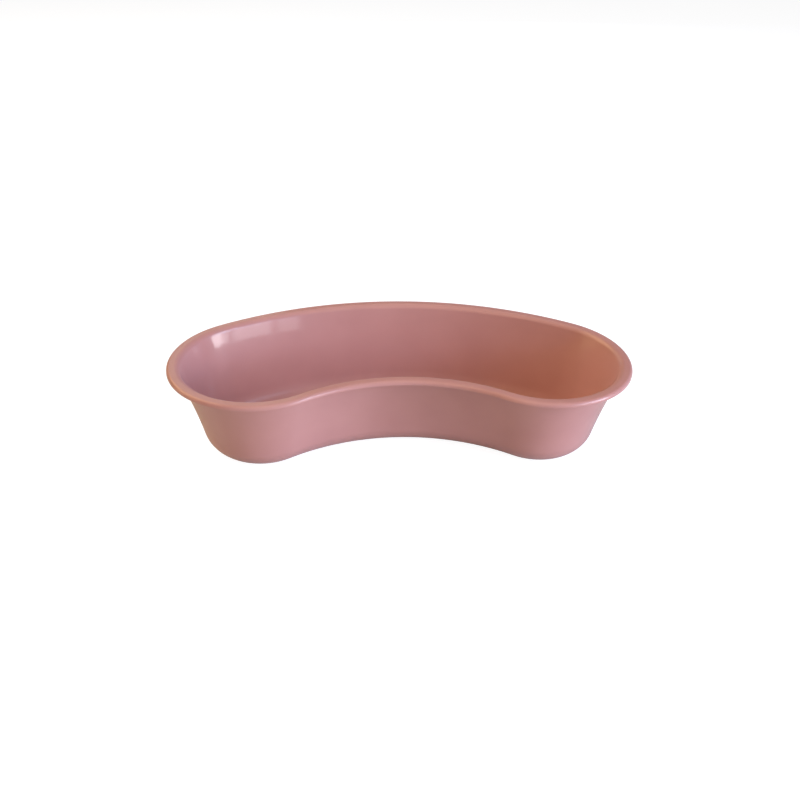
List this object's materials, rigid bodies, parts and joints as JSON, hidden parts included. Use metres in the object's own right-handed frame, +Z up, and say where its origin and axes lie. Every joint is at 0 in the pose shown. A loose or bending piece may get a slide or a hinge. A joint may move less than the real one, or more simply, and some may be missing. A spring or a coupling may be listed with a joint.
{
  "type": "kidney dish",
  "caption": "Bean-shaped open basin with a flat floor, rounded heel, leaning walls and a narrow outward rim, to hold, collect or carry fluids and small instruments.",
  "frame": {"origin": "centre of the base: middle of the overall box in X and Y, on the plane that the dish stands on", "axes": "+X along the length, +Y from the hollow front to the convex back, +Z up"},
  "size_m": [0.254, 0.122, 0.054],
  "materials": {
    "moulded_plastic": "opaque dusty pink polypropylene, semi-gloss as moulded"
  },
  "bodies": {
    "root": {"floor": "moulded_plastic", "heel": "moulded_plastic", "side_wall": "moulded_plastic", "rim": "moulded_plastic"}
  },
  "joints": []
}
